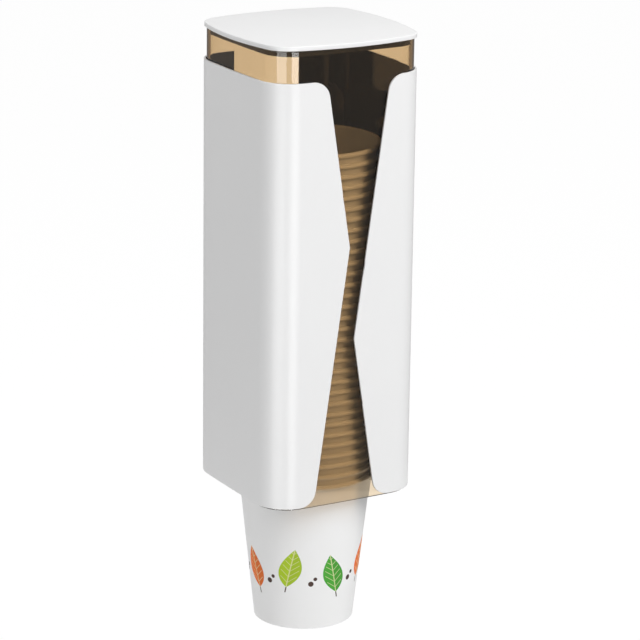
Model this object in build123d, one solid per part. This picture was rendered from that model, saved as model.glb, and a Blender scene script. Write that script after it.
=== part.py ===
from build123d import *
from math import atan, cos, degrees, pi, sqrt
import os

# Wall-mounted pull-type dispenser for nested paper cups, in millimetres.
# It is worked out about the cup axis, with z = 0 at the lower edge of the shell, the window
# towards -Y and the wall towards +Y. Each piece is then moved to the part's own frame: the
# origin lies on the wall behind the middle of the shell, +Z up.

# Shell, the white outer wrap with the window that narrows twice
shell_height = 228.0
shell_wall = 1.2
shell_corner = 18.0
side_bow = 920.0
window_offset = 0.8
window_pinch = 1.7
window_pinch_rise = 24.9
flange_wide = 30.0
flange_narrow = 24.7
flange_corner = 9.5
notch_width = 40.0
notch_depth = 30.0
notch_corner = 5.0

# Amber magazine tube inside the shell
rim_clearance = 4.2
tube_gap = 0.3
tube_wall = 1.8
tube_above = 16.4
tube_below = 1.0

# Lid
lid_overhang = 1.8
lid_bow = 148.0
lid_corner = 13.7
lid_thickness = 2.5
lid_edge_bevel = 0.8
lid_seat_gap = 0.3
lip_depth = 3.0
lip_wall = 1.5
seal_wall = 1.2
seal_seat_gap = 0.06
seal_gap = 0.35

# Paper cups
cup_height = 85.5
cup_rim_diameter = 77.0
cup_bead = 2.6
cup_bead_bevel = 0.7
cup_paper = 0.35
cup_base_paper = 0.4
cup_base_recess = 5.0
cup_glue_gap = 0.06
cup_foot_gap = 0.42
cup_nest_gap = 0.2894
cup_drop = 4.2
cup_sides = 32
stack_cups = 31
stack_sides = 14

# Catches, one in each lower corner of the tube
catch_width = 7.0
catch_pivot_inset = 10.5
catch_pivot_rise = 0.6
catch_hub_radius = 2.2
catch_nose_thickness = 1.4
catch_rim_gap = 0.3
catch_wall_gap = 0.32
catch_tail = 4.8
catch_tail_half = 1.6
pin_radius = 0.8
pin_clearance = 0.05
housing_cheek = 2.0
housing_side_gap = 0.3
housing_bond_gap = 0.12
housing_roof = 1.6
housing_head_room = 7.2
housing_web = 2.0
housing_foot_lift = 0.4
stop_gap = 0.3
stop_bar_inset = 2.5
spring_strip = 0.4
spring_width = 5.0
spring_bend = 1.2
spring_gap = 0.3

# Hanger on the back of the shell, and the plate on the wall that it hooks on
hanger_width = 48.0
hanger_height = 100.0
hanger_depth = 6.0
hanger_face = 2.8
hanger_seat_gap = 0.1
hanger_corner = 4.0
slide_gap = 0.3
plate_gap = 0.4
plate_thickness = 2.8
plate_margin = 1.0
lug_neck_width = 12.0
lug_head_width = 20.0
lug_height = 10.0
lug_head_thickness = 2.0
lug_spacing = 36.0
lug_rise = 2.0
lift_travel = 14.0
pad_width = 44.0
pad_height = 60.0
pad_thickness = 1.0

# Fasteners
wall_hole_radius = 2.25
wall_hole_spacing = 80.0
wall_hole_sink = 1.4
wall_hole_sink_radius = 4.0
screw_spacing = 84.0
screw_radius = 1.5
screw_length = 8.0
screw_clearance = 0.2
screw_tip_gap = 0.3
screw_seat_gap = 0.1
screw_head_radius = 2.8
screw_head_height = 1.6
screw_drive_radius = 1.2
screw_drive_depth = 0.8
overrun = 2.0

# Places that several pieces share
middle = shell_height / 2
rim_radius = cup_rim_diameter / 2
tube_inner_half = rim_radius + rim_clearance
tube_half = tube_inner_half + tube_wall
shell_half = tube_half + tube_gap + shell_wall
lid_half = shell_half + lid_overhang
tube_corner = shell_corner - shell_wall - tube_gap
tube_bow = side_bow - shell_wall - tube_gap
tube_top = shell_height + tube_above
lid_underside = tube_top + lid_seat_gap
lip_low = tube_top - lip_depth
seal_inset = tube_wall + seal_gap
cup_pitch = cup_base_recess + cup_base_paper + cup_foot_gap
wall_slope = (cup_paper + cup_nest_gap) / cup_pitch
wall_top_radius = rim_radius - cup_bead + cup_paper
wall_top_height = cup_height - cup_bead / 2
base_radius = wall_top_radius - wall_slope * wall_top_height
under_bead = cup_height - cup_bead
served_base = cup_drop - under_bead
screw_seat = tube_inner_half - screw_seat_gap
hanger_back = shell_half + hanger_depth
pocket_floor = hanger_back - hanger_face
plate_front = hanger_back + plate_gap
plate_back = plate_front + plate_thickness
wall_plane = plate_back + pad_thickness
diagonal = Plane(origin=(0, 0, 0), x_dir=(1, -1, 0), z_dir=(-1, -1, 0))
corner_turns = {"front_right": 0, "back_right": 90, "back_left": 180, "front_left": 270}


def bowed_square(half, bow, corner):
    """Square outline with gently bowed sides and rounded corners, as a face on z = 0."""
    inset = bow - half
    tip = (sqrt(2 * bow**2 - inset**2) - inset) / 2
    side = ThreePointArc((tip, -tip), (half, 0), (tip, tip))
    face = make_face([side.rotate(Axis.Z, turn) for turn in (0, 90, 180, 270)])
    return fillet(face.vertices(), corner)


def corner_reach(half, bow, corner):
    """Distance from the axis to the rounded corner of a bowed square, along the diagonal."""
    inset = bow - half
    centre = (sqrt(2 * (bow - corner) ** 2 - inset**2) - inset) / 2
    return centre * sqrt(2) + corner


def bowed_prism(half, bow, corner, low, high):
    """Upright prism of the bowed square between two heights."""
    return extrude(Pos(0, 0, low) * bowed_square(half, bow, corner), amount=high - low)


def cup_wall_radius(height):
    """Outer radius of a cup's wall at a height above its foot."""
    return base_radius + wall_slope * height


def slab(x, y, z):
    """Box between the given low and high values of x, y and z."""
    size = [high - low for low, high in (x, y, z)]
    centre = [(high + low) / 2 for low, high in (x, y, z)]
    return Pos(*centre) * Box(*size)


def pair_heights(centre, spacing):
    """Heights of two places, one above the other."""
    return [centre - spacing / 2, centre + spacing / 2]


def screw_heights():
    """Heights of the two hanger screws."""
    return pair_heights(middle, screw_spacing)


def lug_heights():
    """Heights of the two lugs' middles."""
    return pair_heights(middle + lug_rise, lug_spacing)


def bar_along_y(radius, z, low, high):
    """Round bar along Y between two depths."""
    return Pos(0, (low + high) / 2, z) * Rot(90, 0, 0) * Cylinder(radius, high - low)


def window_cut():
    """The opening that narrows at two heights, wider than the wall front to back."""
    top = shell_height + overrun
    low_pinch = middle - window_pinch_rise
    high_pinch = middle + window_pinch_rise
    short_reach = shell_half - flange_wide
    long_reach = shell_half - flange_narrow
    short_end = short_reach + (short_reach - window_pinch) / low_pinch * overrun
    long_end = long_reach + (long_reach - window_pinch) / high_pinch * overrun
    outline = [
        (window_offset - short_end, top),
        (window_offset - window_pinch, high_pinch),
        (window_offset - long_end, -overrun),
        (window_offset + short_end, -overrun),
        (window_offset + window_pinch, low_pinch),
        (window_offset + long_end, top),
    ]
    face = make_face(Polyline(*outline, close=True))
    return extrude(Plane.XZ * face, amount=shell_half + overrun)


def notch_cut():
    """Opening in the top of the back wall, rounded at its lower corners."""
    floor = shell_height - notch_depth
    cut = slab(
        (-notch_width / 2, notch_width / 2),
        (0, shell_half + overrun),
        (floor, shell_height + overrun),
    )
    low_edges = cut.edges().filter_by(Axis.Y).group_by(Axis.Z)[0]
    return fillet(low_edges, notch_corner)


def shell():
    outer = bowed_prism(shell_half, side_bow, shell_corner, 0, shell_height)
    room = bowed_prism(
        shell_half - shell_wall,
        side_bow - shell_wall,
        shell_corner - shell_wall,
        -overrun,
        shell_height + overrun,
    )
    body = outer - room - window_cut() - notch_cut()
    for z in screw_heights():
        body -= bar_along_y(screw_radius + screw_clearance, z, 0, shell_half + overrun)
    across = body.edges().filter_by(Axis.Y).filter_by(lambda edge: edge.center().Y < 0)
    ends = [across.group_by(Axis.Z)[0], across.group_by(Axis.Z)[-1]]
    return fillet(ends[0] + ends[1], flange_corner)


def cup_tube():
    outer = bowed_prism(tube_half, tube_bow, tube_corner, -tube_below, tube_top)
    room = bowed_prism(
        tube_inner_half,
        tube_bow - tube_wall,
        tube_corner - tube_wall,
        -tube_below - overrun,
        tube_top + overrun,
    )
    body = outer - room
    for z in screw_heights():
        body -= bar_along_y(screw_radius + screw_clearance, z, 0, shell_half)
    return body


def tube_ring(outer_inset, wall, low, high):
    """Ring that follows the tube, a given distance inside its outer face."""
    inner = outer_inset + wall
    ring = bowed_prism(
        tube_half - outer_inset, tube_bow - outer_inset, tube_corner - outer_inset, low, high
    )
    return ring - bowed_prism(
        tube_half - inner, tube_bow - inner, tube_corner - inner, low - overrun, high + overrun
    )


def lid():
    plate = bowed_prism(lid_half, lid_bow, lid_corner, lid_underside, lid_underside + lid_thickness)
    plate = chamfer(plate.faces().sort_by(Axis.Z)[-1].edges(), lid_edge_bevel)
    return plate + tube_ring(seal_inset + seal_wall + seal_seat_gap, lip_wall, lip_low, lid_underside)


def lid_seal():
    """Dark rubber ring round the lip, which grips the mouth of the tube."""
    return tube_ring(seal_inset, seal_wall, lip_low, lid_underside - seal_seat_gap)


def flat_cone(low_radius, low, high_radius, high, sides):
    """Upright frustum with flats round it, drawn from its wider end."""
    rise = high - low
    lean = degrees(atan(abs(high_radius - low_radius) * cos(pi / sides) / rise))
    wide_end = RegularPolygon(max(low_radius, high_radius), sides)
    cone = extrude(wide_end, amount=rise, taper=lean)
    if low_radius < high_radius:
        return Pos(0, 0, high) * Rot(180, 0, 0) * cone
    return Pos(0, 0, low) * cone


def cup_wall():
    """Side wall of a paper cup with its rolled rim, foot on z = 0."""
    crest = rim_radius - cup_bead_bevel
    low_crest = under_bead + cup_bead_bevel
    high_crest = cup_height - cup_bead_bevel
    body = flat_cone(base_radius, 0, cup_wall_radius(under_bead), under_bead, cup_sides)
    body += flat_cone(crest, under_bead, rim_radius, low_crest, cup_sides)
    body += flat_cone(rim_radius, low_crest, rim_radius, high_crest, cup_sides)
    body += flat_cone(rim_radius, high_crest, crest, cup_height, cup_sides)
    bore = base_radius - cup_paper
    return body - flat_cone(bore, 0, cup_wall_radius(cup_height) - cup_paper, cup_height, cup_sides)


def cup_base():
    """Recessed bottom of a paper cup, with the skirt that is glued in its wall."""
    inset = cup_paper + cup_glue_gap
    top = cup_base_recess + cup_base_paper
    outer = cup_wall_radius(0) - inset
    disc = flat_cone(outer, 0, cup_wall_radius(top) - inset, top, cup_sides)
    low_inner = outer - cup_base_paper
    high_inner = cup_wall_radius(cup_base_recess) - inset - cup_base_paper
    return disc - flat_cone(low_inner, 0, high_inner, cup_base_recess, cup_sides)


stack_foot = served_base + cup_pitch
top_cup_foot = stack_foot + (stack_cups - 1) * cup_pitch
stack_bore = base_radius - cup_paper


def stack_walls():
    """Walls and rims of the nested cups above the served one, joined, with the top cup open."""
    band = cup_pitch - cup_bead
    band_low_radius = cup_wall_radius(under_bead - band)
    wall_radius = cup_wall_radius(under_bead)
    body = flat_cone(base_radius, stack_foot, wall_radius, stack_foot + under_bead, stack_sides)
    levels = []
    for cup in range(stack_cups):
        rim_low = stack_foot + under_bead + cup * cup_pitch
        rim_top = rim_low + cup_bead
        levels.append(flat_cone(rim_radius, rim_low, rim_radius, rim_top, stack_sides))
        if cup < stack_cups - 1:
            next_rim = rim_low + cup_pitch
            levels.append(flat_cone(band_low_radius, rim_top, wall_radius, next_rim, stack_sides))
    top = top_cup_foot + cup_height
    mouth_radius = cup_wall_radius(cup_height) - cup_paper
    hollow = flat_cone(stack_bore, top_cup_foot, mouth_radius, top, stack_sides)
    shaft = flat_cone(stack_bore, stack_foot, stack_bore, top_cup_foot, stack_sides)
    return body.fuse(*levels).cut(hollow, shaft)


def stack_bases():
    """Bottoms of the lowest and the highest cup of the stack."""
    outer = stack_bore - cup_glue_gap
    inner = outer - cup_base_paper
    top = cup_base_recess + cup_base_paper
    disc = flat_cone(outer, 0, outer, top, stack_sides)
    base = disc - flat_cone(inner, 0, inner, cup_base_recess, stack_sides)
    return [Pos(0, 0, foot) * base for foot in (stack_foot, top_cup_foot)]


catch_top = cup_drop - catch_rim_gap
tube_corner_reach = corner_reach(tube_inner_half, tube_bow - tube_wall, tube_corner - tube_wall)
pivot_reach = tube_corner_reach - catch_pivot_inset
pivot_height = catch_top + catch_pivot_rise
housing_half = catch_width / 2 + housing_side_gap + housing_cheek
housing_roof_low = pivot_height + catch_tail_half + housing_head_room
stop_top = pivot_height - catch_tail_half - stop_gap


def across_corner(face, width):
    """A face drawn outward along x and up along y, as a plate of the given width in the corner."""
    return extrude(diagonal * face, amount=width / 2, both=True)


def catch():
    """Pivoting catch: its nose holds the rim, its tail takes the spring."""
    tip = cup_wall_radius(catch_top - served_base) + catch_wall_gap
    nose = make_face(
        Polyline(
            (tip, catch_top),
            (pivot_reach, catch_top),
            (pivot_reach, pivot_height - catch_hub_radius),
            (tip, catch_top - catch_nose_thickness),
            close=True,
        )
    )
    tail = Pos(pivot_reach + catch_tail / 2, pivot_height) * Rectangle(catch_tail, 2 * catch_tail_half)
    hub = Pos(pivot_reach, pivot_height) * Circle(catch_hub_radius)
    bore = Pos(pivot_reach, pivot_height) * Circle(pin_radius + pin_clearance)
    return across_corner(nose + tail + hub - bore, catch_width)


def catch_pin():
    """Steel pin that the catch turns on."""
    return across_corner(Pos(pivot_reach, pivot_height) * Circle(pin_radius), 2 * housing_half)


def catch_housing():
    """Two cheeks, a web and a roof round the catch, shaped to the corner of the tube."""
    foot = housing_foot_lift - tube_below
    top = housing_roof_low + housing_roof
    front = pivot_reach - catch_hub_radius
    block_face = Pos((front + tube_corner_reach) / 2, (foot + top) / 2) * Rectangle(
        tube_corner_reach - front, top - foot
    )
    block = across_corner(block_face, 2 * housing_half)
    inset = tube_wall + housing_bond_gap
    block &= bowed_prism(tube_half - inset, tube_bow - inset, tube_corner - inset, foot, top)
    web = tube_corner_reach - housing_web
    room = Pos((front - overrun + web) / 2, (foot - overrun + housing_roof_low) / 2) * Rectangle(
        web - front + overrun, housing_roof_low - foot + overrun
    )
    bar_low = pivot_reach + stop_bar_inset
    bar = Pos((bar_low + web) / 2, (foot - overrun + stop_top) / 2) * Rectangle(
        web - bar_low, stop_top - foot + overrun
    )
    hole = Pos(pivot_reach, pivot_height) * Circle(pin_radius)
    channel = across_corner(room - bar, catch_width + 2 * housing_side_gap)
    return block - channel - across_corner(hole, 2 * housing_half + overrun)


def catch_spring():
    """Hairpin leaf spring: its upper leg lies under the roof, its lower leg presses the tail."""
    upper = housing_roof_low - spring_strip
    lower = pivot_height + catch_tail_half + spring_gap + spring_strip
    back = tube_corner_reach - housing_web - spring_gap - spring_strip
    line = FilletPolyline(
        (back, upper),
        (pivot_reach, upper),
        (pivot_reach + catch_tail - spring_strip, lower),
        radius=spring_bend,
    )
    return across_corner(trace(line, line_width=spring_strip), spring_width)


def keyhole(height):
    """Cut for one lug: a wide entry below, a narrow slot above and a pocket for the head."""
    half = lug_height / 2
    top = height + half + slide_gap
    turn = height + half - lift_travel + slide_gap
    foot = height - half - lift_travel - slide_gap
    neck = lug_neck_width / 2 + slide_gap
    head = lug_head_width / 2 + slide_gap
    deep = (pocket_floor - overrun, hanger_back + overrun)
    cut = slab((-neck, neck), deep, (turn - overrun, top))
    cut += slab((-head, head), deep, (foot, turn))
    return cut + slab((-head, head), (shell_half - overrun, pocket_floor), (foot, top + slide_gap))


def hanger():
    """Plate on the back of the shell with a keyhole for each lug of the wall plate."""
    half = hanger_width / 2
    rise = hanger_height / 2
    body = slab((-half, half), (shell_half - overrun, hanger_back), (middle - rise, middle + rise))
    body = fillet(body.edges().filter_by(Axis.Y), hanger_corner)
    grown = shell_half + hanger_seat_gap
    body -= bowed_prism(grown, side_bow, shell_corner, 0, shell_height)
    for height in lug_heights():
        body -= keyhole(height)
    for z in screw_heights():
        body -= bar_along_y(screw_radius, z, 0, screw_seat + screw_length + screw_tip_gap)
    return body


def hanger_screws():
    """Two screws, headed inside the tube, that clamp tube and shell to the hanger."""
    screws = []
    for z in screw_heights():
        shank = bar_along_y(screw_radius, z, screw_seat, screw_seat + screw_length)
        head = bar_along_y(screw_head_radius, z, screw_seat - screw_head_height, screw_seat)
        hexagon = Plane.XZ * RegularPolygon(screw_drive_radius, 6)
        drive = Pos(0, screw_seat - screw_head_height, z) * extrude(
            hexagon, amount=screw_drive_depth, both=True
        )
        screws.append(shank + head - drive)
    return screws


def wall_plate():
    """Plate that is screwed or stuck to the wall, with two T-shaped lugs."""
    half = hanger_width / 2 + plate_margin
    rise = hanger_height / 2 + plate_margin
    body = slab((-half, half), (plate_front, plate_back), (middle - rise, middle + rise))
    body = fillet(body.edges().filter_by(Axis.Y), hanger_corner)
    lug = lug_height / 2
    neck = lug_neck_width / 2
    head = lug_head_width / 2
    head_back = pocket_floor - slide_gap
    for height in lug_heights():
        tall = (height - lug, height + lug)
        body += slab((-neck, neck), (head_back, plate_front), tall)
        body += slab((-head, head), (head_back - lug_head_thickness, head_back), tall)
    for z in pair_heights(middle, wall_hole_spacing):
        body -= bar_along_y(wall_hole_radius, z, plate_front, plate_back)
        sink = Cone(wall_hole_radius, wall_hole_sink_radius, wall_hole_sink)
        body -= Pos(0, plate_front + wall_hole_sink / 2, z) * Rot(90, 0, 0) * sink
    return body


def adhesive_pad():
    """Foam pad that sticks the wall plate to the wall."""
    half = pad_width / 2
    rise = pad_height / 2
    return slab((-half, half), (plate_back, wall_plane), (middle - rise, middle + rise))


def write(name, solids):
    """Moves a piece to the part's frame and writes it."""
    if not isinstance(solids, (list, tuple)):
        solids = [solids]
    placed = [solid.moved(Location((0, -wall_plane, -middle))) for solid in solids]
    shape = placed[0] if len(placed) == 1 else Compound(children=placed)
    export_step(shape, os.path.join("parts", name + ".step"))


os.makedirs("parts", exist_ok=True)
write("shell", shell())
write("cup_tube", cup_tube())
write("lid", lid())
write("lid_seal", lid_seal())
write("hanger", hanger())
write("hanger_screws", hanger_screws())
write("wall_plate", wall_plate())
write("adhesive_pad", adhesive_pad())
write("stack_walls", stack_walls())
write("stack_bases", stack_bases())
write("served_cup_wall", Pos(0, 0, served_base) * cup_wall())
write("served_cup_base", Pos(0, 0, served_base) * cup_base())
for corner, turn in corner_turns.items():
    turned = Rot(0, 0, turn)
    write("catch_" + corner, turned * catch())
    write("catch_pin_" + corner, turned * catch_pin())
    write("catch_spring_" + corner, turned * catch_spring())
    write("catch_housing_" + corner, turned * catch_housing())
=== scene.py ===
import math
import random
import bmesh
import bpy
from mathutils import Matrix, Vector


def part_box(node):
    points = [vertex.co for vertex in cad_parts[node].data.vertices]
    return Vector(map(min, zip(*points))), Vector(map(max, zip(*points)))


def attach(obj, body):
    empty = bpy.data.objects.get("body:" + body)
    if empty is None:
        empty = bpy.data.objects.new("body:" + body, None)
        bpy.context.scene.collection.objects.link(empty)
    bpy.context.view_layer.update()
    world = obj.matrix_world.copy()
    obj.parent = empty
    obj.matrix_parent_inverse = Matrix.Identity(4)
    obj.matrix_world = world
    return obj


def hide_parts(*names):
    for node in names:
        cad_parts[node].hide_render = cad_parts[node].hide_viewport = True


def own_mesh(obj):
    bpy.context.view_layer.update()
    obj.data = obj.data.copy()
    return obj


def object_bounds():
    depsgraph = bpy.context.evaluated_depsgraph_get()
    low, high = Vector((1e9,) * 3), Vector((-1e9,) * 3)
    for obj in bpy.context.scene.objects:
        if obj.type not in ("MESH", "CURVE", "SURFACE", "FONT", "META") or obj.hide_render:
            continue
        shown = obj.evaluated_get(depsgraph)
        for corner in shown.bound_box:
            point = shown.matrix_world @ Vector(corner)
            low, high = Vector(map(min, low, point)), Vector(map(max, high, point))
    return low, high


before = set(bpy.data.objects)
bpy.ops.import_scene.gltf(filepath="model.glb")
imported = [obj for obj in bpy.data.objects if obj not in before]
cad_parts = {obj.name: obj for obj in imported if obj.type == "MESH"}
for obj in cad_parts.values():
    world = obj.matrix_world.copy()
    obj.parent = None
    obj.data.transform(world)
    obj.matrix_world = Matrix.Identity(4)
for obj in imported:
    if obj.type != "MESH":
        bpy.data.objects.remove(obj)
cad_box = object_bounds()


# The wall plate is a white moulding, screwed or stuck to the wall, with two T-shaped lugs that
# carry the dispenser. The hanger is the same moulding, on the back of the shell, and its two
# keyholes drop over the lugs. A foam pad with adhesive on both faces backs the plate.
mm = 0.001


def new_finish(name):
    """An empty finish: the material, its nodes and links, and its shader."""
    material = bpy.data.materials.new(name)
    material.use_nodes = True
    tree = material.node_tree
    return material, tree.nodes, tree.links, tree.nodes["Principled BSDF"]


def new_group(name, inputs, outputs):
    """An empty shader group with number or colour sockets, each given as name and default."""
    group = bpy.data.node_groups.new(name, "ShaderNodeTree")
    for way, sockets in (("INPUT", inputs), ("OUTPUT", outputs)):
        for label, value in sockets:
            kind = "NodeSocketColor" if isinstance(value, tuple) else "NodeSocketFloat"
            socket = group.interface.new_socket(name=label, in_out=way, socket_type=kind)
            socket.default_value = value
    enter = group.nodes.new("NodeGroupInput")
    leave = group.nodes.new("NodeGroupOutput")
    return group, group.nodes, group.links, enter, leave


def noise_on(nodes, links, scale, detail):
    """Fine noise over the piece's own coordinates."""
    place = nodes.new("ShaderNodeTexCoord")
    noise = nodes.new("ShaderNodeTexNoise")
    noise.inputs["Scale"].default_value = scale
    noise.inputs["Detail"].default_value = detail
    links.new(place.outputs["Object"], noise.inputs["Vector"])
    return noise


def feed(links, value, socket):
    """Links an input to another node's socket, or sets it to a number or colour."""
    if isinstance(value, bpy.types.NodeSocket):
        links.new(value, socket)
    else:
        socket.default_value = value


def spread_of(nodes, links, source, low, high):
    """Turns a 0 to 1 value into one between two others."""
    spread = nodes.new("ShaderNodeMapRange")
    links.new(source, spread.inputs["Value"])
    feed(links, low, spread.inputs["To Min"])
    feed(links, high, spread.inputs["To Max"])
    return spread.outputs["Result"]


def tone_between(nodes, links, share, first, second):
    """A colour between two others."""
    tone = nodes.new("ShaderNodeMix")
    tone.data_type = "RGBA"
    links.new(share, tone.inputs["Factor"])
    feed(links, first, tone.inputs["A"])
    feed(links, second, tone.inputs["B"])
    return tone.outputs["Result"]


def ramp_of(nodes, links, source, stops):
    """Turns a 0 to 1 value into a colour between two stops, each a position and a colour."""
    ramp = nodes.new("ShaderNodeValToRGB")
    for element, (position, color) in zip(ramp.color_ramp.elements, stops):
        element.position = position
        element.color = color + (1.0,)
    links.new(source, ramp.inputs["Fac"])
    return ramp.outputs["Color"]


def moulded_skin_group():
    """Moulded plastic: cloudy tone, uneven gloss and the fine grain left by the tool."""
    white = (0.8, 0.8, 0.8, 1.0)
    group, nodes, links, enter, leave = new_group(
        "moulded_skin",
        [("Color", white), ("Shade", white), ("Gloss Low", 0.3), ("Gloss High", 0.4)],
        [("Color", white), ("Roughness", 0.3), ("Height", 0.0)],
    )
    cloud = noise_on(nodes, links, 22.0, 3.0)
    color = tone_between(
        nodes, links, cloud.outputs["Fac"], enter.outputs["Color"], enter.outputs["Shade"]
    )
    links.new(color, leave.inputs["Color"])
    wear = noise_on(nodes, links, 85.0, 4.0)
    gloss = spread_of(
        nodes, links, wear.outputs["Fac"], enter.outputs["Gloss Low"], enter.outputs["Gloss High"]
    )
    links.new(gloss, leave.inputs["Roughness"])
    grain = noise_on(nodes, links, 1400.0, 2.0)
    links.new(grain.outputs["Fac"], leave.inputs["Height"])
    return group


moulded_skin = moulded_skin_group()


def bump_from(nodes, links, height, shader, strength, depth):
    """Feeds a height into the shader's normal."""
    bump = nodes.new("ShaderNodeBump")
    bump.inputs["Strength"].default_value = strength
    bump.inputs["Distance"].default_value = depth
    links.new(height, bump.inputs["Height"])
    links.new(bump.outputs["Normal"], shader.inputs["Normal"])


def lay_surface(nodes, links, shader, group, color, shade, strength, depth):
    """Lays a shared surface on a shader, between two tones, with its height as a bump."""
    surface = nodes.new("ShaderNodeGroup")
    surface.node_tree = group
    surface.inputs["Color"].default_value = color + (1.0,)
    surface.inputs["Shade"].default_value = shade + (1.0,)
    links.new(surface.outputs["Color"], shader.inputs["Base Color"])
    links.new(surface.outputs["Roughness"], shader.inputs["Roughness"])
    bump_from(nodes, links, surface.outputs["Height"], shader, strength, depth)
    return surface


def moulded_plastic(name, color, shade, gloss, grain_depth):
    """A finish of moulded plastic between two tones and two roughnesses."""
    material, nodes, links, shader = new_finish(name)
    skin = lay_surface(nodes, links, shader, moulded_skin, color, shade, 0.3, grain_depth)
    skin.inputs["Gloss Low"].default_value = gloss[0]
    skin.inputs["Gloss High"].default_value = gloss[1]
    return material


def dress(node, material):
    """Gives a piece of the frame its finish."""
    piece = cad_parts[node]
    piece.data.materials.clear()
    piece.data.materials.append(material)


white_moulding = moulded_plastic(
    "white_moulding", (0.79, 0.79, 0.785), (0.74, 0.74, 0.73), (0.42, 0.55), 0.03 * mm
)
dress("wall_plate", white_moulding)
dress("hanger", white_moulding)


def closed_cell_foam():
    """Grey foam tape: round closed cells that pit its cut edges."""
    material, nodes, links, shader = new_finish("foam_pad")
    place = nodes.new("ShaderNodeTexCoord")
    cells = nodes.new("ShaderNodeTexVoronoi")
    cells.inputs["Scale"].default_value = 1900.0
    links.new(place.outputs["Object"], cells.inputs["Vector"])
    stops = ((0.0, (0.2, 0.2, 0.21)), (1.0, (0.42, 0.42, 0.43)))
    color = ramp_of(nodes, links, cells.outputs["Distance"], stops)
    links.new(color, shader.inputs["Base Color"])
    shader.inputs["Roughness"].default_value = 0.95
    bump_from(nodes, links, cells.outputs["Distance"], shader, 0.6, 0.15 * mm)
    return material


dress("adhesive_pad", closed_cell_foam())


# Steel: the two zinc-plated screws that clamp tube and shell to the hanger, and in each lower
# corner of the tube the bright pin that a catch turns on.
def drawn_steel_group():
    """Steel with fine draw lines along Z and a cloudy plating."""
    grey = (0.6, 0.6, 0.6, 1.0)
    group, nodes, links, enter, leave = new_group(
        "drawn_steel",
        [("Color", grey), ("Shade", grey)],
        [("Color", grey), ("Roughness", 0.3), ("Height", 0.0)],
    )
    place = nodes.new("ShaderNodeTexCoord")
    stretch = nodes.new("ShaderNodeMapping")
    stretch.inputs["Scale"].default_value = (2600.0, 2600.0, 260.0)
    lines = nodes.new("ShaderNodeTexNoise")
    lines.inputs["Scale"].default_value = 1.0
    lines.inputs["Detail"].default_value = 3.0
    links.new(place.outputs["Object"], stretch.inputs["Vector"])
    links.new(stretch.outputs["Vector"], lines.inputs["Vector"])
    cloud = noise_on(nodes, links, 240.0, 3.0)
    color = tone_between(
        nodes, links, cloud.outputs["Fac"], enter.outputs["Color"], enter.outputs["Shade"]
    )
    links.new(color, leave.inputs["Color"])
    links.new(spread_of(nodes, links, lines.outputs["Fac"], 0.22, 0.42), leave.inputs["Roughness"])
    links.new(lines.outputs["Fac"], leave.inputs["Height"])
    return group


drawn_steel = drawn_steel_group()


def steel(name, color, shade):
    """A steel finish between two tones."""
    material, nodes, links, shader = new_finish(name)
    lay_surface(nodes, links, shader, drawn_steel, color, shade, 0.2, 0.01 * mm)
    shader.inputs["Metallic"].default_value = 1.0
    return material


zinc_steel = steel("zinc_steel", (0.66, 0.67, 0.69), (0.56, 0.57, 0.6))
bright_steel = steel("bright_steel", (0.68, 0.67, 0.65), (0.6, 0.59, 0.57))
corners = ("front_right", "back_right", "back_left", "front_left")
dress("hanger_screws", zinc_steel)
for corner in corners:
    dress("catch_pin_" + corner, bright_steel)


# The shell is one wrap of white plastic, 1.2 mm thick and glossy outside; its inner face is
# near-black, painted shade for the dark inside of the shell. Its two front edges come together and
# part again, so the window narrows at two heights. The flange corners are rounded, and a notch in
# the top of the back leaves the tube bare.
shell_low, shell_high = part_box("shell")
axis = Vector((0.0, (shell_low.y + shell_high.y) / 2, 0.0))
shell_half = (shell_high.x - shell_low.x) / 2
shell_height = shell_high.z - shell_low.z
shell_wall = 1.2 * mm
shell_corner = 18.0 * mm
side_bow = 920.0 * mm
window_offset = 0.8 * mm
window_pinch = 1.7 * mm
window_pinch_rise = 24.9 * mm
flange_wide = 30.0 * mm
flange_narrow = 24.7 * mm
flange_corner = 9.5 * mm
notch_width = 40.0 * mm
notch_depth = 30.0 * mm
notch_corner = 5.0 * mm
edge_round = 0.25 * mm
edge_angle = math.radians(50)
crease_angle = math.radians(32)
side_steps = 10
corner_steps = 16
flange_corner_steps = 10
shell_row = 7.6 * mm
weld_reach = 0.4 * mm
same_spot = 0.02 * mm


def bowed_square(half, bow, corner, side_count, corner_count):
    """Points round a square with bowed sides and round corners, from the back's middle by -X."""
    inset = bow - half
    centre = (math.sqrt(2 * (bow - corner) ** 2 - inset**2) - inset) / 2
    lean = math.atan2(centre, centre + inset)
    points = []
    for quarter in range(4):
        turn = Matrix.Rotation(math.pi / 2 * quarter, 2)
        for step in range(side_count):
            angle = lean * step / side_count
            points.append(turn @ Vector((-bow * math.sin(angle), bow * math.cos(angle) - inset)))
        for step in range(corner_count):
            angle = lean + (math.pi / 2 - 2 * lean) * step / corner_count
            x = -centre - corner * math.sin(angle)
            y = centre + corner * math.cos(angle)
            points.append(turn @ Vector((x, y)))
        for step in range(side_count):
            angle = lean * (1 - step / side_count)
            points.append(turn @ Vector((-bow * math.cos(angle) + inset, bow * math.sin(angle))))
    return points


def rounded_outline(corners, steps):
    """Outline through corners, each given as s, z and radius, with its round corners as arcs."""
    points = []
    for index, (s, z, radius) in enumerate(corners):
        here = Vector((s, z))
        if radius == 0:
            points.append(here)
            continue
        before = (Vector(corners[index - 1][:2]) - here).normalized()
        after = (Vector(corners[(index + 1) % len(corners)][:2]) - here).normalized()
        half_angle = before.angle(after) / 2
        middle = here + (before + after).normalized() * radius / math.sin(half_angle)
        first = here + before * radius / math.tan(half_angle) - middle
        last = here + after * radius / math.tan(half_angle) - middle
        swing = first.angle_signed(last)
        for step in range(steps + 1):
            turn = Matrix.Rotation(-swing * step / steps, 2)
            points.append(middle + turn @ first)
    return points


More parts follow.
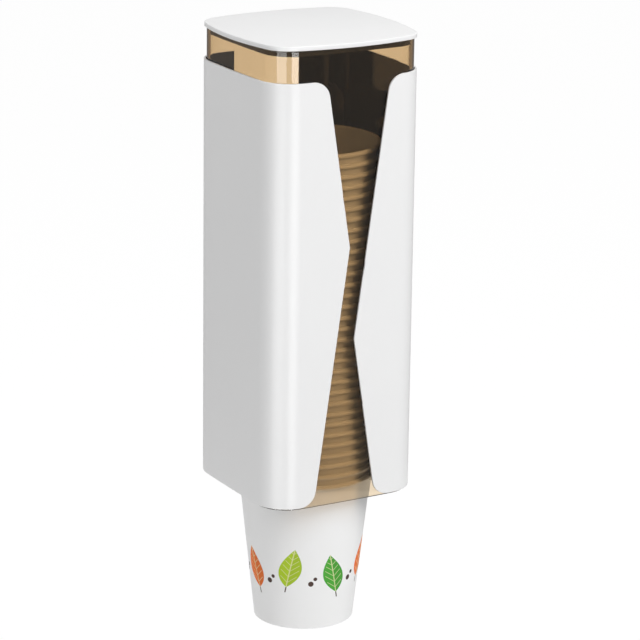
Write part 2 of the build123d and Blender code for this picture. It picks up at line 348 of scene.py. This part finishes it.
def cut_across(bm, place, normal):
    """Cuts every face of a mesh along a plane."""
    everything = bm.verts[:] + bm.edges[:] + bm.faces[:]
    bmesh.ops.bisect_plane(bm, geom=everything, dist=1e-6, plane_co=place, plane_no=normal)


def weld_near(bm, kept):
    """Welds the points that lie very near to some that stay, which would upset the bevel."""
    near = bmesh.ops.find_doubles(bm, verts=bm.verts[:], keep_verts=kept, dist=weld_reach)
    bmesh.ops.weld_verts(bm, targetmap=near["targetmap"])


def wrap_sheet(outline, path, low, row):
    """Fills a flat outline of s along a path and z, cuts it in rows and bends it round the path."""
    bm = bmesh.new()
    verts = [bm.verts.new((point.x, 0.0, point.y)) for point in outline]
    edges = [bm.edges.new((verts[i - 1], verts[i])) for i in range(len(verts))]
    bmesh.ops.contextual_create(bm, geom=edges)
    reach = [0.0]
    for index in range(len(path)):
        step = (path[(index + 1) % len(path)] - path[index]).length
        reach.append(reach[-1] + step)
    around = reach[-1]
    stations = [s - around if s > around / 2 else s for s in reach]
    for s in stations:
        cut_across(bm, (s, 0, 0), (1, 0, 0))
    top = max(point.y for point in outline)
    for count in range(1, math.ceil(top / row)):
        cut_across(bm, (0, 0, count * row), (0, 0, 1))
    weld_near(bm, verts)
    rim = [vert for vert in bm.verts if vert.is_boundary and vert not in verts]
    bmesh.ops.remove_doubles(bm, verts=rim, dist=weld_reach)
    weld_near(bm, [vert for vert in bm.verts if vert.is_boundary])
    for vert in bm.verts:
        s = vert.co.x % around
        index = max(i for i in range(len(path)) if reach[i] <= s + 1e-9)
        share = (s - reach[index]) / (reach[index + 1] - reach[index])
        spot = path[index].lerp(path[(index + 1) % len(path)], share)
        vert.co = Vector((spot.x, spot.y + axis.y, vert.co.z + low))
    bmesh.ops.remove_doubles(bm, verts=bm.verts[:], dist=same_spot)
    bmesh.ops.recalc_face_normals(bm, faces=bm.faces[:])
    return bm


def path_length(path):
    """Length of a closed path."""
    return sum((path[index] - path[index - 1]).length for index in range(len(path)))


def show(name, data):
    """Puts an object with its data in the scene."""
    thing = bpy.data.objects.new(name, data)
    bpy.context.scene.collection.objects.link(thing)
    return thing


def mesh_from(name, bm, materials):
    """Turns a mesh under work into a finished one."""
    mesh = bpy.data.meshes.new(name)
    bm.to_mesh(mesh)
    bm.free()
    for material in materials:
        mesh.materials.append(material)
    return mesh


def new_piece(name, bm, materials, body):
    """Makes a piece of a mesh, smooth but for its sharp edges, that rides on a body."""
    mesh = mesh_from(name, bm, materials)
    mesh.shade_smooth()
    mesh.set_sharp_from_angle(angle=crease_angle)
    piece = show(name, mesh)
    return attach(piece, body)


def give_wall(piece, wall, inner_material):
    """Thickens a wrapped sheet inwards and rounds its cut edges."""
    solid = piece.modifiers.new("wall", "SOLIDIFY")
    solid.thickness = wall
    solid.offset = -1.0
    solid.use_even_offset = True
    solid.material_offset = inner_material
    bevel = piece.modifiers.new("edges", "BEVEL")
    bevel.width = edge_round
    bevel.segments = 2
    bevel.limit_method = "ANGLE"
    bevel.angle_limit = edge_angle
    bevel.use_clamp_overlap = False
    weigh = piece.modifiers.new("normals", "WEIGHTED_NORMAL")
    weigh.keep_sharp = True


shell_path = bowed_square(shell_half, side_bow, shell_corner, side_steps, corner_steps)
half_way = path_length(shell_path) / 2
short_reach = shell_half - flange_wide
long_reach = shell_half - flange_narrow
low_pinch = shell_height / 2 - window_pinch_rise
high_pinch = shell_height / 2 + window_pinch_rise
shell_outline = rounded_outline(
    [
        (-half_way + window_offset + long_reach, shell_height, flange_corner),
        (-half_way + window_offset + window_pinch, low_pinch, 0),
        (-half_way + window_offset + short_reach, 0, flange_corner),
        (half_way + window_offset - long_reach, 0, flange_corner),
        (half_way + window_offset - window_pinch, high_pinch, 0),
        (half_way + window_offset - short_reach, shell_height, flange_corner),
        (notch_width / 2, shell_height, 0),
        (notch_width / 2, shell_height - notch_depth, notch_corner),
        (-notch_width / 2, shell_height - notch_depth, notch_corner),
        (-notch_width / 2, shell_height, 0),
    ],
    flange_corner_steps,
)
shell_white = moulded_plastic(
    "shell_white", (0.83, 0.83, 0.83), (0.81, 0.81, 0.812), (0.36, 0.42), 0.004 * mm
)
shell_gloss = shell_white.node_tree.nodes["Principled BSDF"]
shell_gloss.inputs["Specular IOR Level"].default_value = 0.3
shell_gloss.inputs["Coat Weight"].default_value = 0.06
shell_gloss.inputs["Coat Roughness"].default_value = 0.07
# Painted shade: the inner face is near-black for the deep shade inside the shell.
shell_inside_painted_shade = moulded_plastic(
    "shell_inside_painted_shade", (0.018, 0.018, 0.019), (0.026, 0.026, 0.027), (0.6, 0.75), 0.03 * mm
)
shell_inside_painted_shade.node_tree.nodes["Principled BSDF"].inputs["Specular IOR Level"].default_value = 0.25
shell = new_piece(
    "shell_wrap", wrap_sheet(shell_outline, shell_path, shell_low.z, shell_row),
    [shell_white, shell_inside_painted_shade], "dispenser",
)
give_wall(shell, shell_wall, 1)
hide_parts("shell")


# The magazine is a square tube of clear amber plastic, 1.8 mm thick and open at both ends. It
# stands 16 mm above the shell and 1 mm below it, polished all round.
tube_low, tube_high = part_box("cup_tube")
tube_gap = 0.3 * mm
tube_wall = 1.8 * mm
tube_half = shell_half - shell_wall - tube_gap
tube_bow = side_bow - shell_wall - tube_gap
tube_corner = shell_corner - shell_wall - tube_gap
tube_height = tube_high.z - tube_low.z
amber_tint = (0.8, 0.525, 0.05)
tube_density = 330.0


def amber_plastic(name, density):
    """Clear amber plastic, with a faint haze: the deeper the way through it, the browner, and
    painted shade darkens it to a brown edge where its wall is seen edge-on.
    """
    material, nodes, links, shader = new_finish(name)
    shader.inputs["Transmission Weight"].default_value = 1.0
    shader.inputs["IOR"].default_value = 1.49
    haze = noise_on(nodes, links, 60.0, 3.0)
    links.new(spread_of(nodes, links, haze.outputs["Fac"], 0.0, 0.03), shader.inputs["Roughness"])
    # Painted shade: the tint turns dark brown where the wall is seen edge-on, a dark edge laid into
    # the colour.
    edge = nodes.new("ShaderNodeLayerWeight")
    edge.inputs["Blend"].default_value = 0.5
    stops = ((0.56, (0.98, 0.98, 0.98)), (0.74, (0.1, 0.06, 0.04)))
    links.new(ramp_of(nodes, links, edge.outputs["Facing"], stops), shader.inputs["Base Color"])
    clear = nodes.new("ShaderNodeBsdfTransparent")
    clear.inputs["Color"].default_value = (0.74, 0.71, 0.66, 1.0)
    ray = nodes.new("ShaderNodeLightPath")
    straight = nodes.new("ShaderNodeMath")
    straight.operation = "MAXIMUM"
    links.new(ray.outputs["Is Shadow Ray"], straight.inputs[0])
    links.new(ray.outputs["Is Diffuse Ray"], straight.inputs[1])
    mix = nodes.new("ShaderNodeMixShader")
    links.new(straight.outputs["Value"], mix.inputs["Fac"])
    links.new(shader.outputs["BSDF"], mix.inputs[1])
    links.new(clear.outputs["BSDF"], mix.inputs[2])
    links.new(mix.outputs["Shader"], nodes["Material Output"].inputs["Surface"])
    depth = nodes.new("ShaderNodeVolumeAbsorption")
    depth.inputs["Color"].default_value = amber_tint + (1.0,)
    depth.inputs["Density"].default_value = density
    links.new(depth.outputs["Volume"], nodes["Material Output"].inputs["Volume"])
    return material


tube_path = bowed_square(tube_half, tube_bow, tube_corner, side_steps, corner_steps)
half_tube = path_length(tube_path) / 2
tube_outline = rounded_outline(
    [
        (-half_tube, 0, 0),
        (half_tube, 0, 0),
        (half_tube, tube_height, 0),
        (-half_tube, tube_height, 0),
    ],
    1,
)
tube = new_piece(
    "amber_magazine", wrap_sheet(tube_outline, tube_path, tube_low.z, tube_height),
    [amber_plastic("amber_tube", tube_density)], "dispenser",
)
give_wall(tube, tube_wall, 0)
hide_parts("cup_tube")


# The lid is a loose white moulding: a plate with strongly bowed sides and a soft edge, and under it
# a lip that plugs the mouth of the tube. A thin band is stretched round the lip and fills the gap
# to the tube; its near-black colour is painted shade for the shadow under the lid's edge.
lid_low, lid_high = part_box("lid")
lid_half = (lid_high.x - lid_low.x) / 2
lid_bow = 148.0 * mm
lid_corner = 13.7 * mm
lid_thickness = 2.5 * mm
lid_top_round = 0.5 * mm
lid_foot_round = 0.35 * mm
lid_corner_steps = 12
lip_wall = 1.5 * mm
lip_inset = tube_wall + 1.61 * mm
lip_side_steps = 4


def loop_at(bm, path, z):
    """A closed loop of edges through a path at one height."""
    verts = [bm.verts.new((point.x, point.y + axis.y, z)) for point in path]
    return [bm.edges.new((verts[i - 1], verts[i])) for i in range(len(verts))]


def raise_loop(bm, edges, rise):
    """Extrudes a loop upwards and returns its new edges."""
    grown = bmesh.ops.extrude_edge_only(bm, edges=edges)["geom"]
    verts = [part for part in grown if isinstance(part, bmesh.types.BMVert)]
    bmesh.ops.translate(bm, verts=verts, vec=(0, 0, rise))
    ends = set(verts)
    return [e for e in grown if isinstance(e, bmesh.types.BMEdge) and set(e.verts) <= ends]


def lip_path(inset):
    """The tube's outer path, moved inwards for the lip."""
    return bowed_square(
        tube_half - inset, tube_bow - inset, tube_corner - inset, lip_side_steps, lid_corner_steps
    )


def lid_mesh():
    """The plate with its soft edges, and the open lip under it."""
    bm = bmesh.new()
    underside = lid_high.z - lid_thickness
    plate_path = bowed_square(lid_half, lid_bow, lid_corner, side_steps, lid_corner_steps)
    rim = loop_at(bm, plate_path, underside)
    outer = loop_at(bm, lip_path(lip_inset), underside)
    bmesh.ops.triangle_fill(bm, use_beauty=True, edges=rim + outer)
    top = raise_loop(bm, rim, lid_thickness)
    bmesh.ops.contextual_create(bm, geom=top)
    lip = raise_loop(bm, outer, lid_low.z - underside)
    inner = loop_at(bm, lip_path(lip_inset + lip_wall), lid_low.z)
    bmesh.ops.bridge_loops(bm, edges=lip + inner)
    ceiling = raise_loop(bm, inner, underside - lid_low.z)
    bmesh.ops.contextual_create(bm, geom=ceiling)
    for edges, radius, segments in ((top, lid_top_round, 4), (rim, lid_foot_round, 2)):
        bmesh.ops.bevel(
            bm, geom=edges, offset=radius, segments=segments, profile=0.5, affect="EDGES",
            material=-1,
        )
    bmesh.ops.recalc_face_normals(bm, faces=bm.faces[:])
    return bm


lid_white = moulded_plastic(
    "lid_white", (0.83, 0.83, 0.83), (0.81, 0.81, 0.81), (0.34, 0.42), 0.01 * mm
)
lid = new_piece("lid_moulding", lid_mesh(), [lid_white], "lid")
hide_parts("lid")
# Painted shade: the band round the lip is near-black for the shadow under the lid's edge.
seal_rubber = moulded_plastic(
    "seal_rubber", (0.028, 0.027, 0.026), (0.04, 0.038, 0.036), (0.6, 0.8), 0.03 * mm
)
dress("lid_seal", seal_rubber)


# Each lower corner of the tube has a small amber housing, bonded in, and in it a white catch
# whose nose holds the lowest rim until the cup under it is pulled. A steel leaf spring between
# roof and tail is pressed flatter as the catch swings, and returns it.
housing_density = 200.0


def leaf_spring(corner):
    """A leaf spring of the CAD spring's own shape."""
    cad_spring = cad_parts["catch_spring_" + corner]
    bm = bmesh.new()
    bm.from_mesh(cad_spring.data)
    bm.transform(cad_spring.matrix_world)
    bmesh.ops.remove_doubles(bm, verts=bm.verts[:], dist=0.01 * mm)
    bmesh.ops.recalc_face_normals(bm, faces=bm.faces[:])
    spring = new_piece("spring_leaf_" + corner, bm, [bright_steel], "dispenser")
    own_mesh(spring)
    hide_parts("catch_spring_" + corner)


catch_white = moulded_plastic(
    "catch_moulding", (0.76, 0.75, 0.71), (0.7, 0.69, 0.65), (0.35, 0.45), 0.01 * mm
)
housing_amber = amber_plastic("housing_moulding", housing_density)
for corner in corners:
    dress("catch_" + corner, catch_white)
    dress("catch_housing_" + corner, housing_amber)
    leaf_spring(corner)


# The cups are plain white paper, 0.35 mm thick: a wrapped side wall with a glued seam, a rim
# rolled outwards, and a recessed bottom whose skirt is glued in the foot. 31 hang nested in the
# tube, each a little turned and askew, as they come out of the bag.
cup_height = 85.5 * mm
cup_rim_radius = 38.5 * mm
cup_foot_radius = 27.0 * mm
cup_bead = 2.6 * mm
cup_paper = 0.35 * mm
cup_bottom = 0.4 * mm
cup_recess = 5.0 * mm
cup_pitch = 5.82 * mm
glue_gap = 0.06 * mm
skirt_lift = 0.1 * mm
skirt_fold = 0.5 * mm
seam_width = 6.5 * mm
seam_step = 0.3 * mm
seam_turn = 137.5
first_seam = 40.0
most_lean = math.radians(0.13)
most_shift = 0.18 * mm
stack_cups = 31
stack_cup_sides = 72
wall_rows = (0.0, 0.4 * mm, 20 * mm, 45 * mm, 70 * mm)
curl_angles = range(-138, 181, 22)
wall_top_radius = cup_rim_radius - cup_bead + cup_paper
wall_slope = (wall_top_radius - cup_foot_radius) / (cup_height - cup_bead / 2)


def cup_mesh(foot, sides, seam_angle, lean=(0.0, 0.0)):
    """A paper cup about the axis: its foot's height, its seam's angle and how it leans."""
    bm = bmesh.new()
    bead = cup_bead / 2
    bead_x = cup_rim_radius - bead
    bead_z = cup_height - bead
    outer = [(cup_foot_radius + wall_slope * z, z) for z in wall_rows]
    inner = [(cup_foot_radius - cup_paper + wall_slope * z, z) for z in reversed(wall_rows)]
    curl = [
        (bead_x + bead * math.cos(turn), bead_z + bead * math.sin(turn))
        for turn in map(math.radians, curl_angles)
    ]
    wall = [bm.verts.new((r, 0.0, z)) for r, z in outer + curl + inner]
    edges = [bm.edges.new((wall[i - 1], wall[i])) for i in range(len(wall))]
    skirt = cup_foot_radius - cup_paper - glue_gap
    top = skirt + wall_slope * (cup_recess + cup_bottom)
    section = [
        (0.0, cup_recess + cup_bottom),
        (top, cup_recess + cup_bottom),
        (skirt, skirt_lift),
        (skirt - cup_bottom, skirt_lift),
        (top - cup_bottom - wall_slope * cup_bottom - skirt_fold, cup_recess),
        (0.0, cup_recess),
    ]
    base = [bm.verts.new((r, 0.0, z)) for r, z in section]
    edges += [bm.edges.new((base[i], base[i + 1])) for i in range(len(base) - 1)]
    bmesh.ops.spin(
        bm, geom=wall + base + edges, cent=(0, 0, 0), axis=(0, 0, 1), angle=2 * math.pi,
        steps=sides, use_merge=True,
    )
    bmesh.ops.remove_doubles(bm, verts=bm.verts[:], dist=0.005 * mm)
    bmesh.ops.recalc_face_normals(bm, faces=bm.faces[:])
    for vert in bm.verts:
        around = math.atan2(vert.co.y, vert.co.x)
        out = math.hypot(vert.co.x, vert.co.y)
        away = abs((around - seam_angle + math.pi) % (2 * math.pi) - math.pi) * cup_rim_radius
        mid_wall = cup_foot_radius - cup_paper / 2 + wall_slope * vert.co.z
        if away < seam_width / 2 and out > mid_wall:
            vert.co.xy *= 1 + seam_step / out
    middle = Matrix.Translation((0, 0, cup_height / 2))
    leant = middle @ Matrix.Rotation(lean[0], 4, "X") @ Matrix.Rotation(lean[1], 4, "Y")
    bmesh.ops.transform(bm, matrix=leant @ middle.inverted(), verts=bm.verts[:])
    bmesh.ops.translate(bm, verts=bm.verts[:], vec=axis + Vector((0, 0, foot)))
    return bm


def paper_fibre_group():
    """White board: faint fibres, a cloudy tone and a soft satin coat."""
    white = (0.86, 0.86, 0.85, 1.0)
    group, nodes, links, enter, leave = new_group(
        "paper_fibre",
        [("Color", white), ("Shade", white)],
        [("Color", white), ("Roughness", 0.6), ("Height", 0.0)],
    )
    fibre = noise_on(nodes, links, 900.0, 5.0)
    cloud = noise_on(nodes, links, 70.0, 3.0)
    color = tone_between(
        nodes, links, cloud.outputs["Fac"], enter.outputs["Color"], enter.outputs["Shade"]
    )
    links.new(color, leave.inputs["Color"])
    links.new(spread_of(nodes, links, fibre.outputs["Fac"], 0.45, 0.7), leave.inputs["Roughness"])
    links.new(fibre.outputs["Fac"], leave.inputs["Height"])
    return group


paper_fibre = paper_fibre_group()


def plain_paper(name, color, shade):
    """A finish of cup paper between two tones."""
    material, nodes, links, shader = new_finish(name)
    lay_surface(nodes, links, shader, paper_fibre, color, shade, 0.25, 0.02 * mm)
    return material


paper = plain_paper("cup_paper", (0.85, 0.85, 0.845), (0.82, 0.82, 0.81))
stack_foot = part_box("stack_walls")[0].z
chance = random.Random(31)
for count in range(stack_cups):
    seam = math.radians(seam_turn * count + first_seam)
    foot = stack_foot + count * cup_pitch
    lean = (0.0, 0.0)
    if 0 < count < stack_cups - 1:
        lean = (chance.uniform(-most_lean, most_lean), chance.uniform(-most_lean, most_lean))
        foot += chance.uniform(-most_shift, most_shift)
    bm = cup_mesh(foot, stack_cup_sides, seam, lean)
    cup = new_piece(f"stack_cup_{count + 1:02d}", bm, [paper], "cup_stack")
    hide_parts("stack_walls", "stack_bases")


# The served cup hangs ready below. It is the same cup with a printed side: large pointed leaves
# in green, orange and lime that lean to and fro, veined and short-stemmed, with pairs of brown
# berries between them.
leaf_count = 8
leaf_height = 23.0 * mm
leaf_width = 12.5 * mm
leaf_middle = 34.0 * mm
leaf_stagger = 2.0 * mm
leaf_lean = 0.24
leaf_turn = 0.46
leaf_swell = 0.3
leaf_shade = 0.14
vein_half = 0.35 * mm
vein_strength = 0.8
side_vein_half = 0.7 * vein_half
side_vein_step = 3.4 * mm
side_vein_slant = 0.8
side_vein_reach = 0.8
stem_half = 0.45 * mm
stem_place = -1.13
stem_reach = 0.14
ink_edge = 0.15 * mm
leaf_inks = ((0.06, 0.36, 0.03), (0.82, 0.15, 0.01), (0.39, 0.56, 0.004))
shade_ink = (0.02, 0.06, 0.01)
vein_ink = (0.78, 0.76, 0.42)
stem_ink = (0.06, 0.03, 0.015)
berry_ink = (0.05, 0.022, 0.014)
berries = ((-0.8 * mm, -7.0 * mm, 1.6 * mm), (1.6 * mm, -4.2 * mm, 1.15 * mm))
served_cup_sides = 120
served_seam = 75.0
served_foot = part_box("served_cup_wall")[0].z


def math_node(nodes, links, kind, *values, clamp=False):
    """A Math node of one to three values, each a number or a socket."""
    node = nodes.new("ShaderNodeMath")
    node.operation = kind
    node.use_clamp = clamp
    for socket, value in zip(node.inputs, values):
        feed(links, value, socket)
    return node.outputs["Value"]


def printed_paper():
    """Cup paper with the leaves and berries printed round it."""
    # Painted light: this paper is a little whiter than the stacked cups' paper, so the served cup
    # shows brighter.
    material = plain_paper("cup_paper_printed", (0.88, 0.88, 0.88), (0.865, 0.865, 0.86))
    nodes, links = material.node_tree.nodes, material.node_tree.links
    shader = nodes["Principled BSDF"]
    shader.inputs["Specular IOR Level"].default_value = 0.3

    def calc(kind, *values, clamp=False):
        return math_node(nodes, links, kind, *values, clamp=clamp)

    def lay(below, ink, mask):
        return tone_between(nodes, links, mask, below, ink + (1.0,))

    def within(limit, distance):
        return calc("DIVIDE", calc("SUBTRACT", limit, distance), ink_edge, clamp=True)

    place = nodes.new("ShaderNodeTexCoord")
    spot = nodes.new("ShaderNodeSeparateXYZ")
    links.new(place.outputs["Object"], spot.inputs["Vector"])
    across = calc("SUBTRACT", spot.outputs["Y"], axis.y)
    turns = calc("DIVIDE", calc("ARCTAN2", across, spot.outputs["X"]), 2 * math.pi)
    cell = calc("ADD", calc("MULTIPLY", calc("ADD", turns, 1.0), float(leaf_count)), leaf_turn)
    number = calc("MODULO", calc("FLOOR", cell), float(leaf_count))
    sign = calc("SUBTRACT", calc("MULTIPLY", calc("MODULO", number, 2.0), 2.0), 1.0)
    around = 2 * math.pi * (cup_foot_radius + wall_slope * leaf_middle) / leaf_count
    level = calc("SUBTRACT", spot.outputs["Z"], served_foot + leaf_middle)
    height = calc("SUBTRACT", level, calc("MULTIPLY", sign, leaf_stagger))
    straight = calc("MULTIPLY", calc("SUBTRACT", calc("FRACT", cell), 0.5), around)
    side = calc("SUBTRACT", straight, calc("MULTIPLY", calc("MULTIPLY", sign, leaf_lean), height))
    off_vein = calc("ABSOLUTE", side)

    rise = calc("DIVIDE", height, leaf_height / 2)
    belly = calc("SUBTRACT", 1.0, calc("MULTIPLY", rise, rise), clamp=True)
    swell = calc("SUBTRACT", 1.0, calc("MULTIPLY", rise, leaf_swell))
    edge = calc("MULTIPLY", calc("MULTIPLY", belly, swell), leaf_width / 2)
    leaf = within(edge, off_vein)
    color = shader.inputs["Base Color"].links[0].from_socket
    kinds = calc("MODULO", number, float(len(leaf_inks)))
    for index, ink in enumerate(leaf_inks):
        color = lay(color, ink, calc("MULTIPLY", leaf, calc("COMPARE", kinds, float(index))))
    half = calc("GREATER_THAN", side, 0.0)
    color = lay(color, shade_ink, calc("MULTIPLY", calc("MULTIPLY", leaf, half), leaf_shade))

    bend = calc("MULTIPLY", off_vein, side_vein_slant)
    slant = calc("DIVIDE", calc("SUBTRACT", height, bend), side_vein_step)
    off_side_vein = calc("ABSOLUTE", calc("SUBTRACT", calc("FRACT", slant), 0.5))
    side_vein = within(side_vein_half, calc("MULTIPLY", off_side_vein, side_vein_step))
    short = within(calc("MULTIPLY", edge, side_vein_reach), off_vein)
    vein = calc("MAXIMUM", within(vein_half, off_vein), calc("MULTIPLY", side_vein, short))
    color = lay(color, vein_ink, calc("MULTIPLY", leaf, calc("MULTIPLY", vein, vein_strength)))
    below = calc("COMPARE", rise, stem_place, stem_reach)
    color = lay(color, stem_ink, calc("MULTIPLY", within(stem_half, off_vein), below))

    between = calc("SUBTRACT", calc("FRACT", calc("ADD", cell, 0.5)), 0.5)
    berry_side = calc("MULTIPLY", between, around)
    for out, up, radius in berries:
        away_side = calc("POWER", calc("SUBTRACT", berry_side, out), 2.0)
        away_up = calc("POWER", calc("SUBTRACT", level, up), 2.0)
        away = calc("SQRT", calc("ADD", away_side, away_up))
        color = lay(color, berry_ink, within(radius, away))
    links.new(color, shader.inputs["Base Color"])
    return material


bm = cup_mesh(served_foot, served_cup_sides, math.radians(served_seam))
served_cup = new_piece("served_cup", bm, [printed_paper()], "served_cup")
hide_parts("served_cup_wall", "served_cup_base")


# The studio: a pale floor well below the hanging cup, soft lamps in front, above and to the
# left, and the camera of the photograph.
floor_depth = 150.0 * mm
floor_size = 12.0
floor_tone = (0.85, 0.85, 0.85, 1.0)
floor_glow = 1.04
floor_glow_share = 0.93
room_light = 0.19
room_shown = 1.0


def seen_through(nodes, links, ray):
    """1 for what is seen straight through glass, with no reflection on the way."""
    unreflected = math_node(nodes, links, "LESS_THAN", ray.outputs["Glossy Depth"], 0.5)
    return math_node(nodes, links, "MULTIPLY", ray.outputs["Is Transmission Ray"], unreflected)


def shown_white(nodes, links):
    """1 where the camera sees a surface straight on, in gloss or through glass, and 0 elsewhere."""
    ray = nodes.new("ShaderNodeLightPath")
    through = seen_through(nodes, links, ray)
    seen = math_node(
        nodes, links, "ADD", ray.outputs["Is Camera Ray"], ray.outputs["Is Glossy Ray"], clamp=True
    )
    seen = math_node(nodes, links, "ADD", seen, through, clamp=True)
    direct = math_node(nodes, links, "LESS_THAN", ray.outputs["Diffuse Depth"], 0.5)
    return math_node(nodes, links, "MULTIPLY", seen, direct)


def studio_white():
    """Floor that shows white, with a faint shadow, and lights the object as a pale floor does."""
    material, nodes, links, shader = new_finish("floor_white")
    shader.inputs["Base Color"].default_value = floor_tone
    shader.inputs["Roughness"].default_value = 1.0
    glow = nodes.new("ShaderNodeEmission")
    glow.inputs["Strength"].default_value = floor_glow
    glow_share = math_node(nodes, links, "MULTIPLY", shown_white(nodes, links), floor_glow_share)
    mix = nodes.new("ShaderNodeMixShader")
    links.new(glow_share, mix.inputs["Fac"])
    links.new(shader.outputs["BSDF"], mix.inputs[1])
    links.new(glow.outputs["Emission"], mix.inputs[2])
    links.new(mix.outputs["Shader"], nodes["Material Output"].inputs["Surface"])
    return material


bm = bmesh.new()
bmesh.ops.create_grid(bm, x_segments=1, y_segments=1, size=floor_size / 2)
floor = show("floor", mesh_from("floor", bm, [studio_white()]))
floor.location = (0.0, 0.0, cad_box[0][2] - floor_depth)

world = bpy.data.worlds.new("studio")
bpy.context.scene.world = world
world.use_nodes = True
world_nodes = world.node_tree.nodes
world_links = world.node_tree.links
backdrop = world_nodes["Background"]
backdrop.inputs["Color"].default_value = (1.0, 1.0, 1.0, 1.0)
shown = shown_white(world_nodes, world_links)
strength = spread_of(world_nodes, world_links, shown, room_light, room_shown)
world_links.new(strength, backdrop.inputs["Strength"])

# Grey cards stand round the object for gloss alone, as in a studio, so that the sides of the
# tube and the shell don't mirror the white room.
card_radius = 0.66
card_low = -0.33
card_high = 0.05
card_tone = 0.32


def card_grey():
    """Even grey in gloss, and clear where something is seen straight through glass."""
    material, nodes, links, shader = new_finish("card_grey")
    nodes.remove(shader)
    glow = nodes.new("ShaderNodeEmission")
    glow.inputs["Strength"].default_value = card_tone
    clear = nodes.new("ShaderNodeBsdfTransparent")
    mix = nodes.new("ShaderNodeMixShader")
    through = seen_through(nodes, links, nodes.new("ShaderNodeLightPath"))
    links.new(through, mix.inputs["Fac"])
    links.new(glow.outputs["Emission"], mix.inputs[1])
    links.new(clear.outputs["BSDF"], mix.inputs[2])
    links.new(mix.outputs["Shader"], nodes["Material Output"].inputs["Surface"])
    return material


bm = bmesh.new()
card_middle = Vector((0.0, axis.y, (card_low + card_high) / 2))
bmesh.ops.create_cone(
    bm, cap_ends=False, segments=48, radius1=card_radius, radius2=card_radius,
    depth=card_high - card_low, matrix=Matrix.Translation(card_middle),
)
cards = show("grey_cards", mesh_from("grey_cards", bm, [card_grey()]))
cards.visible_camera = False
cards.visible_diffuse = False
cards.visible_shadow = False


strip_reach = 0.6
strip_low = -0.33
strip_high = 0.06


def soft_lamp(name, place, target, width, height, power):
    """A soft rectangular lamp that points at a target."""
    lamp = bpy.data.lights.new(name, "AREA")
    lamp.shape = "RECTANGLE"
    lamp.size = width
    lamp.size_y = height
    lamp.energy = power
    look = (Vector(target) - Vector(place)).to_track_quat("-Z", "Y")
    thing = show(name, lamp)
    thing.matrix_world = Matrix.Translation(place) @ look.to_matrix().to_4x4()
    return thing


def gloss_strip(name, turn, width, power):
    """An upright soft box that shows in gloss alone, at a turn from the front towards -X."""
    out = Matrix.Rotation(-math.radians(turn), 3, "Z") @ Vector((0.0, -strip_reach, 0.0))
    middle = axis + Vector((0.0, 0.0, (strip_low + strip_high) / 2))
    strip = soft_lamp(name, middle + out, middle, width, strip_high - strip_low, power)
    strip.visible_camera = False
    strip.visible_diffuse = False
    strip.visible_transmission = False


soft_lamp("front_lamp", (0.34, -1.58, 1.4), axis, 0.8, 1.2, 36.8)
soft_lamp("top_lamp", (-0.2, 0.1, 1.6), axis, 1.2, 1.2, 5.0)
soft_lamp("left_lamp", (-1.75, 0.45, 0.5), axis, 1.0, 1.0, 10.2)
gloss_strip("corner_strip", 57.0, 0.36, 2.1)
gloss_strip("front_strip", 12.0, 0.24, 2.0)

camera = bpy.data.cameras.new("photo_camera")
camera.sensor_width = 36.0
camera.lens = 173.0
camera_place = Matrix.Translation((-0.784948, -1.425358, 0.438553))
camera_heading = Matrix.Rotation(math.radians(-30.086), 4, "Z")
camera_pitch = Matrix.Rotation(math.radians(90.0 - 16.4043), 4, "X")
camera_roll = Matrix.Rotation(math.radians(0.757), 4, "Z")
viewer = show("photo_camera", camera)
viewer.matrix_world = camera_place @ camera_heading @ camera_pitch @ camera_roll
bpy.context.scene.camera = viewer
bpy.context.scene.view_settings.view_transform = "Standard"
